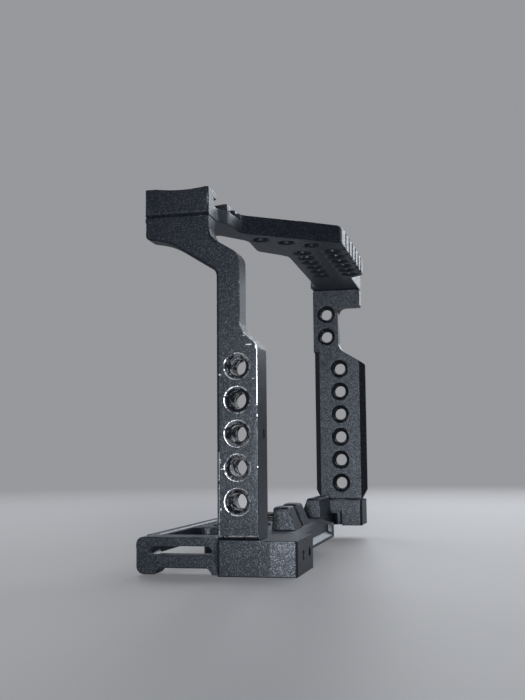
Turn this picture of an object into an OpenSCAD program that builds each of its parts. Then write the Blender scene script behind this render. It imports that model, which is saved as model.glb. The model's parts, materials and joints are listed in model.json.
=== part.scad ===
// Camera cage: four machined frame members round a camera body, bolted at their
// ends. +Z is up with the cage on its base, -Y is the camera's front and -X is
// the hand-grip end. The origin is the centre of the cage, at the resting face.

/* [Cage] */
// Overall length of the cage, from the grip post to the side plate
cage_length = 145; // [135:1:165]
// Overall depth of the cage, front to back
cage_depth = 54; // [52:1:58]
// Overall height of the cage
cage_height = 111.5; // [107:0.5:124]

/* [Grip post] */
// Thickness of the post's lower part, across the cage
post_t = 12; // [10:0.5:15]
// Thickness of the neck and head, across the cage
neck_t = 7.5; // [6.5:0.5:9]
// Front-to-back width of the post's lower part
post_w = 12; // [11:0.5:15]
// Front-to-back width of the neck
neck_w = 7; // [6:0.5:9]
// Place of the post's rear face, towards the rear from the cage's centre
post_rear_y = 3; // [1:0.5:5]
// Height of the step between the post's lower part and its neck
post_step_z = 67; // [65.5:0.5:69]
// Front-to-back width of the post's head
head_w = 19.3; // [17:0.5:22]
// Place of the head's rear face
head_rear_y = 24.4; // [23:0.2:26]

/* [Base plate] */
// Height of the base plate's top face
base_h = 10; // [9.5:0.5:12]
// Thickness of the open main plate
plate_t = 4.7; // [4:0.1:6]
// Place of the main plate's front edge, forward of the centre
base_front = 19; // [17:0.5:20]
// Length of the deep front block, along the cage
block_l = 26.5; // [24:0.5:32]
// Thickness of the strap bar, along the cage
bar_t = 9; // [7:0.5:10]
// Width of the strap slot
strap_w = 18; // [14:0.5:20]
// Height of the strap slot
strap_h = 2.7; // [2.2:0.1:4]
// Length of the battery-door cut-out, along the cage
door_l = 41; // [30:1:42]
// Width of the rail behind the battery-door cut-out
rail_w = 3.5; // [2.5:0.5:5]
// Length of the far foot, along the cage
foot_l = 17; // [14:0.5:20]
// Height of the far foot's top face
foot_top_z = 15.5; // [14:0.5:17]

/* [Anti-twist lips] */
// Height of the lips' tops
lip_top_z = 17.2; // [15:0.2:20]
// Thickness of a lip's top, front to back
lip_t = 4.6; // [4:0.2:5.4]
// Length of the near and middle lips, along the cage
lip_l = 12; // [11:0.5:14]
// Length of the far lip, along the cage
far_lip_l = 26; // [20:1:30]

/* [Top plate] */
// Thickness of the top plate
top_t = 6; // [5:0.2:8]
// Height of the cold-shoe block above the post's head
shoe_block_h = 8.5; // [8.3:0.1:10]
// Length of the cold-shoe block, along the cage
shoe_block_l = 28; // [26:0.5:32]
// Width of the cold shoe's slot
shoe_slot_w = 18.6; // [18.6:0.1:19]
// Width of the cold shoe's mouth
shoe_mouth_w = 12.5; // [12:0.1:14]
// Height of the cold shoe's slot under its lips
shoe_slot_h = 2.2; // [2:0.1:2.5]
// Thickness of the cold shoe's lips
shoe_lip_t = 2.2; // [2:0.1:2.4]

/* [Side plate] */
// Thickness of the side plate
side_t = 6; // [5.5:0.1:7]
// Full width of the safety rail
rail_full_w = 21.2; // [21:0.1:21.4]
// Width of the safety rail's flat
rail_flat_w = 16.6; // [15.9:0.1:17]
// Height of the safety rail's upper end
rail_top_z = 77; // [74:0.5:78]
// Height of the notch in the side plate's front
notch_h = 15.6; // [12:0.2:16]

/* [Threaded holes] */
// Bore of a 1/4 inch tapped hole
tap_d = 5.2; // [5:0.05:5.3]
// Outer diameter of the countersink round a tapped hole
ring_d = 7.3; // [6.8:0.1:7.6]
// Outer diameter of the countersink round a hole of the slanted row
slant_ring_d = 6.2; // [5.8:0.1:7]
// Spacing of the holes in the post and the side rail
hole_pitch = 9.5; // [9:0.1:10]
// Spacing of the holes along the top plate's grid
grid_pitch = 8.7; // [8.4:0.1:9]
// Distance between the top grid's two rows
grid_row_gap = 10.4; // [9:0.1:11]
// Bore of a 3/8 inch tapped tripod hole
big_tap_d = 8; // [7.8:0.05:8.2]

/* [Fasteners] */
// Thread diameter of the joint screws
screw_d = 3; // [2.5:0.1:3]
// Head diameter of the joint screws
screw_head_d = 5.4; // [5:0.1:5.5]
// Head height of the joint screws
screw_head_h = 2.8; // [2:0.1:3]
// Thread diameter of the lip screws
lip_screw_d = 2.5; // [2:0.1:2.5]
// Head diameter of the lip screws
lip_screw_head_d = 4.4; // [4:0.1:4.4]
// Diameter of the dowel pins
dowel_d = 2; // [1.5:0.1:2.5]

/* [Camera screw] */
// Thread diameter of the camera screw
stud_d = 6.2; // [6:0.05:6.35]
// Head diameter of the camera screw
knob_d = 14.5; // [12:0.5:15]
// Head height of the camera screw
knob_h = 2.6; // [2.2:0.1:2.8]
// Distance from the camera screw to the 1/4 inch tripod hole on each side
tripod_pitch = 18; // [16:0.5:20]
// Travel of the captive camera screw
stud_travel = 1.8; // [1:0.1:1.9]
// Thickness of the retaining clip
clip_t = 0.8; // [0.6:0.1:0.9]
// Thickness of the washer under the head
washer_t = 0.5; // [0.3:0.1:0.6]
// Reach of the threaded tip above the base plate, screw down
stud_reach = 3.4; // [3:0.1:5]

/* [Rubber pads] */
// Thickness of the rubber pads
pad_t = 0.8; // [0.6:0.1:1.2]
// Depth of the pads' recesses
pad_sink = 0.4; // [0.2:0.1:0.5]
// Width of the pads, front to back
pad_w = 18; // [12:0.5:19]

/* [Hidden] */
$fn = 64;
eps = 0.01;
past = 1;              // how far a cut runs past the face it opens
slip = 0.05;           // radial clearance of a pin in its hole
hollow_gap = 0.02;     // set-back of the circle that rounds a hollow corner

// Along the cage
near_x = -cage_length / 2;
far_x = cage_length / 2;
post_in_x = near_x + post_t;
side_in_x = far_x - side_t;

// Front to back
base_rear_y = cage_depth / 2;
top_front_y = -cage_depth / 2;

// Heights
plate_z = base_h - plate_t;
shoe_top_z = cage_height;
top_z = shoe_top_z - shoe_block_h;
top_face_z = top_z + top_t;

// Base plate
block_front_y = -base_front - 0.7;
block_corner_r = 0.9;
block_lean = 0.6;
block_lean_y = block_front_y + 7.5;
block_lean_r = 6;
edge_r = 1;
bar_inset = 0.8;
bar_bottom_z = 0.3;
bar_top_z = base_h + 0.8;
bar_r = 2.2;
relief_y = post_rear_y + 0.8;
relief_z = 2.1;
relief_w = 18.6;
relief_slope = 2;
strap_y = (post_rear_y + base_rear_y) / 2 - 1.3;
strap_z = (bar_bottom_z + bar_top_z) / 2 + 1.3;
strap_mouth = 0.25;
door_r = 5;
door_front_y = post_rear_y;
door_rear_y = base_rear_y - rail_w;
rail_l = 75;
waist_near_x = near_x + 75;
waist_far_x = near_x + 97;
waist_y = -10.3;
waist_near_r = 9;
waist_far_r = 22;
main_near_x = near_x + 2;
ledge_w = 1.7;
ledge_top_z = base_h - 2.4;
ledge_h = 1.4;
bevel_gap = 5;
front_hole_x = [near_x + 10.2, near_x + 20.1];
front_hole_z = base_h / 2 + 0.3;
front_hole_depth = 8;
foot_x = far_x - foot_l;
foot_front_y = -22.4;
foot_rear_y = -1.5;
foot_r = 1.2;
pocket_l = 6;
pocket_w = 8.5;
pocket_h = foot_top_z - base_h - 4;
pocket_r = 2;
rest_near_x = near_x + bar_t + door_l + 4;
rest_far_x = side_in_x - 6;
rest_front_y = -1;
rest_rear_y = base_rear_y - 4;
rest_r = 4;

// Post
post_mid_y = post_rear_y - post_w / 2;
post_front_y = post_rear_y - post_w;
neck_front_y = post_rear_y - neck_w;
head_front_y = head_rear_y - head_w;
head_mid_y = head_rear_y - head_w / 2;
post_hole_z = 20.6;
post_holes = 5;
shoulder_z = post_step_z - 1.5;
elbow_z = top_z - 16.6;
post_screw_gap = 6;
step_slope_h = 2.2;
bend_w = 14.5;
bend_h = 9.1;
seam_bevel = 1;
lock_x = near_x + 7.9;
lock_z = post_hole_z + 2 * hole_pitch;
lock_d = 3;
lock_depth = 3.8;
lock_sink = 0.7;
lock_l = 2;
lock_socket_d = lock_d / 2;

// Top plate
shoe_x = near_x + 15;
shoe_floor_z = shoe_top_z - shoe_lip_t - shoe_slot_h;
dish_r = 45;
dish_depth = 0.6;
dish_y = head_mid_y - 1;
rise_w = 9;
rise_l = 9;
rise_r = 20;
rise_sink = 0.5;
slant_near_x = near_x + 28.3;
slant_far_x = near_x + 48.2;
arm_rear_y = 2.4;
arm_near_y = 9.2;
arm_far_y = -4.6;
row_front_y = top_front_y + 5.2;
grid_x = near_x + 61.5;
grid_columns = 6;
arm_far_x = grid_x + 4;
arm_bend_x = grid_x - 7;
nose_x = grid_x + (grid_columns - 1) * grid_pitch + 3;
nose_slope = 5;
groove_x = near_x + 58.7;
groove_pitch = 8.5;
groove_w = 2.6;
groove_depth = 1.2;
grooves = 6;
slant_hole_x = near_x + 37.4;
slant_hole_y = -1.9;
slant_hole_step = [6.2, -7.3];
slant_holes = 3;

// Side plate
rail_y = -12.6;
rail_front_y = rail_y - rail_full_w / 2;
rail_rear_y = rail_y + rail_full_w / 2;
rail_bevel = (rail_full_w - rail_flat_w) / 2;
side_rear_y = -1.9;
side_front_y = -21.6;
notch_y = -12.3;
notch_top_z = top_z - 7.4;
notch_z = notch_top_z - notch_h - 2;
rail_foot_z = foot_top_z + rail_bevel + 1.5;
rail_front_end_z = rail_top_z - 4;
rail_rear_end_z = rail_top_z - 0.4;
rail_hole_z = 22;
rail_holes = 6;
side_hole_y = -7.3;
side_hole_z = rail_hole_z + rail_holes * hole_pitch + 4.2;
side_holes = 2;
side_mid_x = (side_in_x + far_x) / 2;
side_screw_gap = 11.6;
head_screw_y = [-5.2, -18];

// Lips
near_lip_x = near_x + 39.4;
mid_lip_x = near_x + 60;
far_lip_x = foot_x - far_lip_l;
near_lip_y = -7.1;
mid_lip_y = -6;
far_lip_y = -7;
lip_flare = 2.6;
lip_draft = 0.5;
lip_screw_grip = 4;
lip_slope = 2.4;
lip_screw_wall = 0.6;

// Joint screws and dowels
cap_sink = 0.4;
cap_gap = 0.2;
bore_past = 0.5;
post_screw_l = post_hole_z - ring_d / 2 - screw_head_h - 1.6;
side_screw_l = rail_hole_z + 1.5 - plate_z - screw_head_h;
post_top_screw_l = shoe_block_h + 2.5;
side_top_screw_l = top_t + 5.4;
head_screw_wall = 0.7;
head_screw_gap = 12.8;
dowel_half = 3.6;

// Camera screw
stud_x = 3;
stud_y = 10;
shelf_z = 5.6;
web_t = 1.6;
web_top_z = shelf_z + web_t;
web_d = 6.7;
recess_d = 11;
big_ring_d = big_tap_d + 2;
counterbore_d = knob_d + 1.5;
washer_top_z = shelf_z - stud_travel;
knob_top_z = washer_top_z - washer_t;
knob_z = knob_top_z - knob_h;
neck_d = 5.6;
groove_d = 4.8;
clip_d = 9.2;
clip_gap = 2;
clip_lift = 0.05;
clip_z = web_top_z + clip_lift;
thread_z = clip_z + clip_t + 0.6;
stud_top_z = base_h + stud_reach;
stud_tip = 0.7;
coin_w = 1.8;
coin_depth = 1.2;
key_d = 5.2;
key_depth = 2;
washer_d = knob_d - 3;

// Rubber pads
pad_y = 10.5;
pad_r = 2;
pad_clear = 2;
pad_near_x = [rest_near_x + 1, stud_x - recess_d / 2 - 3];
pad_far_x = [stud_x + recess_d / 2 + 3, rest_far_x - 4];

function unit(v) = v / norm(v);
function cross2(a, b) = a[0] * b[1] - a[1] * b[0];
function into(pts, i) = unit(pts[i] - pts[(i + len(pts) - 1) % len(pts)]);
function out_of(pts, i) = unit(pts[(i + 1) % len(pts)] - pts[i]);
function turn(pts, i) = asin(cross2(into(pts, i), out_of(pts, i)));
function leg(pts, radii, i) = radii[i] * tan(abs(turn(pts, i)) / 2);
function before(pts, radii, i) = pts[i] - into(pts, i) * leg(pts, radii, i);
function after(pts, radii, i) = pts[i] + out_of(pts, i) * leg(pts, radii, i);
function side_of(pts, i) = turn(pts, i) > 0 ? 1 : -1;
function centre(pts, radii, i) =
    before(pts, radii, i) + side_of(pts, i) * radii[i] * [-into(pts, i)[1], into(pts, i)[0]];

function set_back(pts, radii, i) =
    centre(pts, radii, i) + hollow_gap * unit(centre(pts, radii, i) - pts[i]);

// Outline through pts, anticlockwise, with each corner turned to its own radius.
module rounded_outline(pts, radii) {
    count = len(pts);
    difference() {
        union() {
            polygon([for (i = [0 : count - 1]) each
                radii[i] > 0 ? [before(pts, radii, i), after(pts, radii, i)] : [pts[i]]]);
            for (i = [0 : count - 1])
                if (radii[i] > 0 && turn(pts, i) > 0)
                    translate(centre(pts, radii, i)) circle(radii[i]);
        }
        for (i = [0 : count - 1])
            if (radii[i] > 0 && turn(pts, i) < 0)
                translate(set_back(pts, radii, i)) circle(radii[i]);
    }
}

// Rounded rectangle between two corners.
module rounded_box(low, high, r) {
    rounded_outline([low, [high[0], low[1]], high, [low[0], high[1]]], [r, r, r, r]);
}

// Extrudes an outline drawn in Y and Z along +X, from x.
module along_x(x, length) {
    translate([x, 0, 0]) rotate([90, 0, 90]) linear_extrude(length) children();
}

// Extrudes an outline drawn in X and Z along +Y, from y.
module along_y(y, length) {
    translate([0, y + length, 0]) rotate([90, 0, 0]) linear_extrude(length) children();
}

// Cutter for a tapped hole through a wall, along +Z from 0, countersunk at both ends.
module tapped_hole(wall, bore = tap_d, ring = ring_d) {
    sink = (ring - bore) / 2;
    translate([0, 0, -past]) cylinder(h = wall + 2 * past, d = bore);
    translate([0, 0, -past]) cylinder(h = sink + past, r1 = ring / 2 + past, r2 = bore / 2);
    translate([0, 0, wall - sink]) cylinder(h = sink + past, r1 = bore / 2, r2 = ring / 2 + past);
}

// Turns a shape that runs along +Z so that it runs along +X.
module to_x() {
    rotate([0, 90, 0]) children();
}

// Cap screw, head down, with the head's lower face at z = 0 and a hexagon socket.
module cap_screw(length) {
    difference() {
        union() {
            cylinder(h = screw_head_h, d = screw_head_d);
            cylinder(h = screw_head_h + length, d = screw_d - 2 * slip);
        }
        translate([0, 0, -eps]) cylinder(h = screw_head_h / 2, d = screw_d * 0.95, $fn = 6);
    }
}

// Hole for a cap screw that stands in from z = 0, with the head sunk below the face.
module cap_screw_hole(sink, length) {
    translate([0, 0, -past]) cylinder(h = past + sink + screw_head_h, d = screw_head_d + 2 * cap_gap);
    cylinder(h = sink + screw_head_h + length + bore_past, d = screw_d);
}

// Flat-head screw, head up, with its top at z = 0 and a hexagon socket.
module flat_screw(d, head_d, length) {
    cone = (head_d - d) / 2;
    difference() {
        union() {
            translate([0, 0, -cone]) cylinder(h = cone, d1 = d, d2 = head_d);
            translate([0, 0, -length]) cylinder(h = length - cone + eps, d = d - 2 * slip);
        }
        translate([0, 0, -cone]) cylinder(h = cone + eps, d = d * 0.65, $fn = 6);
    }
}

// Hole for a flat-head screw whose head is level with z = 0.
module flat_screw_hole(d, head_d, length) {
    cone = (head_d - d) / 2;
    translate([0, 0, -cone]) cylinder(h = cone, d1 = d + 2 * slip, d2 = head_d + 2 * slip);
    translate([0, 0, -eps]) cylinder(h = past + eps, d = head_d + 2 * slip);
    translate([0, 0, -length - bore_past]) cylinder(h = length + bore_past, d = d);
}

// Places of the four corner joints' screws and dowels.
module at_post_screws() {
    for (side = [-1, 1])
        translate([near_x + post_t / 2, post_mid_y + side * post_screw_gap / 2, 0]) children();
}
module at_post_dowel() {
    translate([near_x + post_t / 2, post_mid_y, 0]) children();
}
module at_head_screws() {
    for (side = [-1, 1])
        translate([near_x + screw_head_d / 2 + head_screw_wall, head_mid_y + side * head_screw_gap / 2, 0])
            children();
}
module at_head_dowel() {
    translate([near_x + neck_t / 2, head_mid_y, 0]) children();
}
module at_side_foot_screws() {
    for (side = [-1, 1])
        translate([side_mid_x, rail_y + side * side_screw_gap / 2, 0]) children();
}
module at_side_foot_dowel() {
    translate([side_mid_x, rail_y, 0]) children();
}
module at_side_head_screws() {
    for (y = head_screw_y)
        translate([side_mid_x, y, 0]) children();
}
module at_side_head_dowel() {
    translate([side_mid_x, (head_screw_y[0] + head_screw_y[1]) / 2, 0]) children();
}
module at_lip_screws(x, y, length) {
    for (side = [-1, 1])
        translate([x + length / 2 + side * (length / 2 - lip_screw_d - lip_screw_wall), y, plate_z])
            children();
}

module dowel(z) {
    translate([0, 0, z - dowel_half]) cylinder(h = 2 * dowel_half, d = dowel_d - slip);
}
module dowel_hole(z) {
    translate([0, 0, z - dowel_half - 0.2]) cylinder(h = 2 * dowel_half + 0.4, d = dowel_d);
}

// ---- Frame members ----

module main_outline() {
    rounded_outline(
        [[main_near_x, -base_front], [waist_near_x, -base_front], [waist_far_x, waist_y],
         [side_in_x, waist_y], [side_in_x, base_rear_y], [main_near_x, base_rear_y]],
        [0, waist_near_r, waist_far_r, 0, 6, 0]);
}

module strap_bar() {
    along_x(near_x + bar_inset, bar_t - bar_inset)
        rounded_outline(
            [[post_rear_y - 2, bar_bottom_z], [base_rear_y, bar_bottom_z],
             [base_rear_y, bar_top_z], [post_rear_y + 0.6, bar_top_z], [post_rear_y - 2, base_h - 1]],
            [0, bar_r, bar_r, 0.6, 0]);
}

module far_foot() {
    difference() {
        translate([0, 0, plate_z]) linear_extrude(foot_top_z - plate_z)
            rounded_box([foot_x, foot_front_y], [far_x, foot_rear_y], foot_r);
        translate([0, 0, plate_z - past]) linear_extrude(base_h - plate_z + 2 * past)
            rounded_box([foot_x - past, waist_y - pocket_w / 2], [foot_x + pocket_l, waist_y], pocket_r);
        translate([0, 0, base_h]) linear_extrude(pocket_h)
            rounded_box([foot_x - past, waist_y - pocket_w / 2], [foot_x + pocket_l, waist_y + pocket_w / 2],
                pocket_r);
    }
}

module base_plate() {
    color("#3a3e46") difference() {
        union() {
            translate([0, 0, plate_z]) linear_extrude(plate_t) main_outline();
            linear_extrude(base_h)
                rounded_outline(
                    [[near_x + block_lean, block_front_y], [near_x + block_l, block_front_y],
                     [near_x + block_l, post_rear_y - eps], [near_x, post_rear_y - eps],
                     [near_x, block_lean_y]],
                    [block_corner_r, 0.6, 0, bar_inset, block_lean_r]);
            strap_bar();
            along_x(near_x + bar_t - eps, rail_l)
                rounded_outline(
                    [[door_rear_y, plate_z], [base_rear_y, plate_z], [base_rear_y, bar_top_z],
                     [door_rear_y, bar_top_z]], [0, 0, 1, 1]);
            linear_extrude(plate_z + eps)
                rounded_box([rest_near_x, rest_front_y], [rest_far_x, rest_rear_y], rest_r);
            far_foot();
        }
        // battery-door cut-out
        translate([0, 0, -past]) linear_extrude(bar_top_z + 2 * past)
            rounded_outline(
                [[near_x + bar_t, door_front_y], [near_x + bar_t + door_l, door_front_y],
                 [near_x + bar_t + door_l, door_rear_y], [near_x + bar_t, door_rear_y]],
                [2, 3, door_r, 2]);
        // strap slot, with rounded mouths
        along_x(near_x - past, bar_t + 2 * past)
            rounded_box([strap_y - strap_w / 2, strap_z - strap_h / 2],
                [strap_y + strap_w / 2, strap_z + strap_h / 2], strap_h / 2 - eps);
        along_x(near_x + bar_inset - eps, strap_mouth)
            rounded_box([strap_y - strap_w / 2 - strap_mouth, strap_z - strap_h / 2 - strap_mouth],
                [strap_y + strap_w / 2 + strap_mouth, strap_z + strap_h / 2 + strap_mouth],
                strap_h / 2 + strap_mouth - 2 * eps);
        // relief under the strap bar
        along_x(near_x - past, bar_t + 2 * past)
            rounded_outline(
                [[relief_y, -past], [relief_y + relief_w, -past],
                 [relief_y + relief_w - relief_slope, relief_z],
                 [relief_y + relief_slope, relief_z]],
                [0, 0, edge_r, edge_r]);
        // ledge along the front
        along_x(near_x + block_l, waist_near_x - bevel_gap - near_x - block_l)
            polygon([[-base_front - past, ledge_top_z - ledge_h], [-base_front, ledge_top_z - ledge_h],
                [-base_front + ledge_w, ledge_top_z], [-base_front + ledge_w, base_h + past],
                [-base_front - past, base_h + past]]);
        // small tapped holes in the front block
        for (x = front_hole_x)
            translate([x, block_front_y - past, front_hole_z]) rotate([-90, 0, 0])
                cylinder(h = front_hole_depth + past, d = screw_d);
        // tripod holes
        for (side = [-1, 1])
            translate([stud_x + side * tripod_pitch, stud_y, 0]) tapped_hole(base_h);
        translate([stud_x + 2 * tripod_pitch, stud_y, 0]) tapped_hole(base_h, big_tap_d, big_ring_d);
        // camera screw's counterbore, web and clip recess
        translate([stud_x, stud_y, -past]) cylinder(h = shelf_z + past, d = counterbore_d);
        translate([stud_x, stud_y, 0]) cylinder(h = base_h, d = web_d);
        translate([stud_x, stud_y, web_top_z]) cylinder(h = base_h, d = recess_d);
        // pad recesses
        pad_shape(pad_near_x, base_h - pad_sink, past + pad_sink, slip);
        pad_shape(pad_far_x, base_h - pad_sink, past + pad_sink, slip);
        // joints
        at_post_screws() cap_screw_hole(cap_sink, post_screw_l);
        at_post_dowel() dowel_hole(base_h);
        at_side_foot_screws() translate([0, 0, plate_z]) cap_screw_hole(cap_sink, side_screw_l);
        at_side_foot_dowel() dowel_hole(foot_top_z);
        lip_screw_holes();
    }
}

module post_profile() {
    rounded_outline(
        [[post_front_y, base_h], [post_rear_y, base_h], [post_rear_y, elbow_z],
         [post_rear_y + bend_w, elbow_z + bend_h], [head_rear_y, elbow_z + bend_h + 1.2],
         [head_rear_y, top_z], [head_front_y, top_z], [head_front_y, elbow_z + bend_h + 1],
         [neck_front_y, elbow_z + bend_h - 4.5], [neck_front_y, post_step_z + step_slope_h],
         [post_front_y, post_step_z - step_slope_h]],
        [0.4, 0.4, 2.5, 18, 1.4, 0.5, 0.5, 5, 4, 4.2, 2.6]);
}

// Cutter that bevels the lower edge of a near face, from one Y to another, at height z.
module seam_cut(front_y, rear_y, z) {
    along_y(front_y - past, rear_y - front_y + 2 * past)
        polygon([[near_x - past, z - past], [near_x + seam_bevel + past, z - past],
            [near_x - past, z + seam_bevel + past]]);
}

module post_section() {
    polygon([[near_x, base_h], [post_in_x, base_h], [post_in_x, shoulder_z],
        [near_x + neck_t, shoulder_z + post_t - neck_t], [near_x + neck_t, top_z], [near_x, top_z]]);
}

module grip_post() {
    color("#3d4148") difference() {
        intersection() {
            along_x(near_x, post_t) post_profile();
            along_y(post_front_y - past, base_rear_y - post_front_y + 2 * past) post_section();
        }
        seam_cut(post_front_y, post_rear_y, base_h);
        for (i = [0 : post_holes - 1])
            translate([near_x, post_mid_y, post_hole_z + i * hole_pitch]) to_x() tapped_hole(post_t);
        translate([lock_x, post_front_y - past, lock_z]) rotate([-90, 0, 0])
            cylinder(h = past + lock_depth, d = lock_d);
        at_post_screws() cap_screw_hole(cap_sink, post_screw_l);
        at_post_dowel() dowel_hole(base_h);
        at_head_screws() translate([0, 0, shoe_top_z - dish_depth])
            flat_screw_hole(screw_d, screw_head_d, post_top_screw_l);
        at_head_dowel() dowel_hole(top_z);
    }
}

module top_outline() {
    rounded_outline(
        [[near_x, head_front_y], [near_x + 9, head_front_y], [near_x + 14, post_rear_y - 0.4],
         [slant_near_x - 2, post_rear_y - 1], [slant_far_x, top_front_y], [nose_x, top_front_y],
         [nose_x + nose_slope, side_front_y], [far_x, side_front_y], [far_x, side_rear_y],
         [side_in_x - side_t, side_rear_y], [side_in_x - side_t - 4, arm_far_y],
         [arm_far_x, arm_far_y - 1], [arm_bend_x, arm_rear_y + 0.6],
         [near_x + shoe_block_l + 10, arm_rear_y], [near_x + shoe_block_l, arm_near_y],
         [near_x + shoe_block_l, head_rear_y], [near_x, head_rear_y]],
        [0.5, 3, 6, 6, 3.5, 4, 4, 1, 1, 3, 3, 5, 5, 8, 1, 1, 0.5]);
}

module cold_shoe_cut() {
    front_y = post_rear_y - 3;
    length = head_rear_y - front_y + past;
    translate([shoe_x - shoe_slot_w / 2, front_y, shoe_floor_z]) cube([shoe_slot_w, length, shoe_slot_h]);
    translate([shoe_x - shoe_mouth_w / 2, front_y, shoe_floor_z])
        cube([shoe_mouth_w, length, shoe_block_h]);
    translate([near_x - past, dish_y, shoe_top_z - dish_depth + dish_r]) to_x()
        cylinder(h = shoe_block_l + 2 * past, r = dish_r, $fn = 180);
}

module top_plate() {
    color("#343840") difference() {
        union() {
            translate([0, 0, top_z]) linear_extrude(top_t) top_outline();
            translate([0, 0, top_z]) linear_extrude(shoe_block_h)
                rounded_box([near_x, head_front_y], [near_x + shoe_block_l, head_rear_y], 0.5);
            // concave rise from the arm to the shoe block
            along_y(post_rear_y + 1, rise_w)
                difference() {
                    translate([near_x + shoe_block_l - 1, top_face_z - rise_sink])
                        square([rise_l, shoe_block_h - top_t - 0.2]);
                    translate([near_x + shoe_block_l + rise_l + 1, top_face_z + rise_r]) circle(rise_r);
                }
        }
        cold_shoe_cut();
        seam_cut(head_front_y, head_rear_y, top_z);
        // three tapped holes along the slanted front
        for (i = [0 : slant_holes - 1])
            translate([slant_hole_x + i * slant_hole_step[0], slant_hole_y + i * slant_hole_step[1], top_z])
                tapped_hole(top_t, ring = slant_ring_d);
        // two rows of tapped holes
        for (i = [0 : grid_columns - 1], row = [0, 1])
            translate([grid_x + i * grid_pitch, row_front_y + row * grid_row_gap, top_z]) tapped_hole(top_t);
        // grip grooves down the front edge
        for (i = [0 : grooves - 1])
            translate([groove_x + i * groove_pitch, top_front_y - groove_w / 2 + groove_depth, top_z - past])
                cylinder(h = top_t + 2 * past, d = groove_w);
        // joints
        at_head_screws() translate([0, 0, shoe_top_z - dish_depth])
            flat_screw_hole(screw_d, screw_head_d, post_top_screw_l);
        at_head_dowel() dowel_hole(top_z);
        at_side_head_screws() translate([0, 0, top_face_z])
            flat_screw_hole(screw_d, screw_head_d, side_top_screw_l);
        at_side_head_dowel() dowel_hole(top_z);
    }
}

module side_outline() {
    rounded_outline(
        [[rail_y - rail_flat_w / 2, foot_top_z], [rail_y + rail_flat_w / 2, foot_top_z],
         [rail_rear_y, rail_foot_z], [rail_rear_y, rail_top_z - 0.9],
         [side_rear_y, rail_rear_end_z], [side_rear_y, top_z], [side_front_y, top_z],
         [side_front_y, notch_top_z], [notch_y, notch_top_z], [notch_y, notch_z],
         [rail_front_y, rail_top_z - 5.6], [rail_front_y, rail_foot_z]],
        [0.2, 0.2, 0.5, 0, 0, 0.8, 0.8, 0.8, 3, 5, 1, 1]);
}

// Cutter that bevels one long edge of the safety rail at 45 degrees, up to end_z.
module rail_edge(x, y, across, side, end_z) {
    translate([0, 0, foot_top_z - past]) linear_extrude(end_z - foot_top_z + past)
        polygon([[x - across * past, y - side * (rail_bevel + past)],
            [x - across * past, y + side * past],
            [x + across * (rail_bevel + past), y + side * past]]);
}

module side_plate() {
    color("#4a5560") difference() {
        along_x(side_in_x, side_t) side_outline();
        for (across = [-1, 1], side = [-1, 1])
            rail_edge(across > 0 ? side_in_x : far_x, rail_y + side * rail_full_w / 2, across, side,
                side > 0 ? rail_rear_end_z : rail_front_end_z);
        for (i = [0 : rail_holes - 1])
            translate([side_in_x, rail_y, rail_hole_z + i * hole_pitch]) to_x() tapped_hole(side_t);
        for (i = [0 : side_holes - 1])
            translate([side_in_x, side_hole_y, side_hole_z + i * hole_pitch]) to_x() tapped_hole(side_t);
        at_side_foot_screws() translate([0, 0, plate_z]) cap_screw_hole(cap_sink, side_screw_l);
        at_side_foot_dowel() dowel_hole(foot_top_z);
        at_side_head_screws() translate([0, 0, top_face_z])
            flat_screw_hole(screw_d, screw_head_d, side_top_screw_l);
        at_side_head_dowel() dowel_hole(top_z);
    }
}

// ---- Anti-twist lips ----

// Upright lip on the base plate, with sloped ends and a foot that spreads to one side.
module lip(x, y, length, slope, front_flare, rear_flare) {
    front_y = y - lip_t / 2;
    rear_y = y + lip_t / 2;
    intersection() {
        along_y(front_y - front_flare - past, lip_t + front_flare + rear_flare + 2 * past)
            rounded_outline(
                [[x, base_h], [x + length, base_h], [x + length - slope, lip_top_z],
                 [x + slope / 3, lip_top_z]],
                [0, 0, 1, 1]);
        along_x(x - past, length + 2 * past)
            rounded_outline(
                [[front_y - front_flare, base_h - eps], [rear_y + rear_flare, base_h - eps],
                 [rear_y, lip_top_z + eps], [front_y, lip_top_z + eps]],
                [0, 0, 0.8, 0.8]);
    }
}

module lip_screws_of(x, y, length) {
    at_lip_screws(x, y, length) rotate([180, 0, 0])
        flat_screw(lip_screw_d, lip_screw_head_d, plate_t + lip_screw_grip);
}

module lip_screw_bores(x, y, length) {
    at_lip_screws(x, y, length) rotate([180, 0, 0])
        flat_screw_hole(lip_screw_d, lip_screw_head_d, plate_t + lip_screw_grip);
}

module lip_screw_holes() {
    lip_screw_bores(near_lip_x, near_lip_y, lip_l);
    lip_screw_bores(mid_lip_x, mid_lip_y, lip_l);
    lip_screw_bores(far_lip_x, far_lip_y, far_lip_l);
}

module near_lip() {
    color("#5a5f66") difference() {
        lip(near_lip_x, near_lip_y, lip_l, lip_slope, lip_flare, lip_draft);
        lip_screw_holes();
    }
}

module mid_lip() {
    color("#2e3440") difference() {
        lip(mid_lip_x, mid_lip_y, lip_l, lip_slope, lip_flare, lip_draft);
        lip_screw_holes();
    }
}

module far_lip() {
    color("#3f444c") difference() {
        lip(far_lip_x, far_lip_y, far_lip_l, lip_slope / 2, lip_draft, lip_flare);
        lip_screw_holes();
    }
}

// ---- Fasteners ----

module post_foot_screws() {
    color("#26272a") at_post_screws() translate([0, 0, cap_sink]) cap_screw(post_screw_l);
}

module post_foot_dowel() {
    color("silver") at_post_dowel() dowel(base_h);
}

module post_head_screws() {
    color("#26272a") at_head_screws() translate([0, 0, shoe_top_z - dish_depth])
        flat_screw(screw_d, screw_head_d, post_top_screw_l);
}

module post_head_dowel() {
    color("silver") at_head_dowel() dowel(top_z);
}

module side_foot_screws() {
    color("#26272a") at_side_foot_screws() translate([0, 0, plate_z + cap_sink])
        cap_screw(side_screw_l);
}

module side_foot_dowel() {
    color("silver") at_side_foot_dowel() dowel(foot_top_z);
}

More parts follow.
